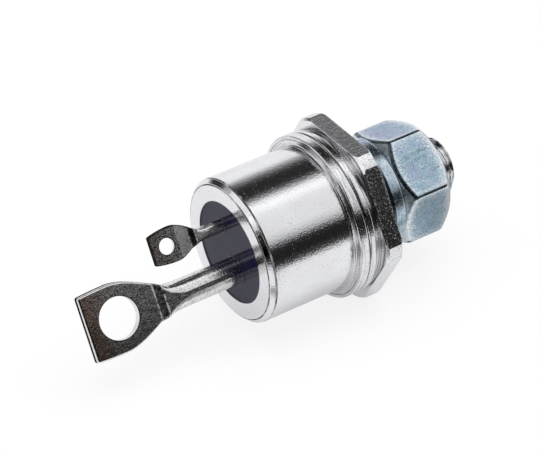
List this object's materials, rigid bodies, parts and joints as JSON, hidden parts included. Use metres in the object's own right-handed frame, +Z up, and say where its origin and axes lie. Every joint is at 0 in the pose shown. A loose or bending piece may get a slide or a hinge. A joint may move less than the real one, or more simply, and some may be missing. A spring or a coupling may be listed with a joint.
{
  "type": "stud-mount thyristor",
  "caption": "Stud-mount power thyristor: hexagonal flange on a threaded stud, round metal cap with a glass seal, flattened lug terminals, nut and lock washer.",
  "frame": {"origin": "centre of the heatsink seat, where the stud leaves the hexagonal flange", "axes": "+X along the stud, away from the cap; +Z up, out of the flange's top flat as the part lies; +Y completes the right-handed frame"},
  "size_m": [0.0425, 0.0192, 0.0174],
  "materials": {
    "nickel": "bright nickel plate with fine dark pits, dull on the hexagon's flats",
    "seal_glass": "dark violet glossy fused glass, opaque",
    "lug_metal": "nickel-iron pin, bright on the round, dull and speckled where it is pressed flat",
    "blue_zinc": "blue-passivated zinc plate, faintly iridescent",
    "molybdenum": "grey turned metal",
    "silicon": "lapped dark grey",
    "junction_rubber": "milky cured coating",
    "copper": "bare copper",
    "sleeve_plastic": "white insulating tube"
  },
  "bodies": {
    "root": {"stud_base": "nickel", "weld_ring": "nickel", "housing_cap": "nickel", "glass_seal": "seal_glass", "cathode_terminal": "lug_metal", "gate_terminal": "lug_metal", "lock_washer": "blue_zinc", "hex_nut": "blue_zinc", "anode_plate": "molybdenum", "silicon_pellet": "silicon", "junction_coating": "junction_rubber", "cathode_contact": "molybdenum", "lead_cup": "copper", "cathode_lead": "copper", "gate_lead": "copper", "gate_sleeve": "sleeve_plastic"}
  },
  "joints": []
}
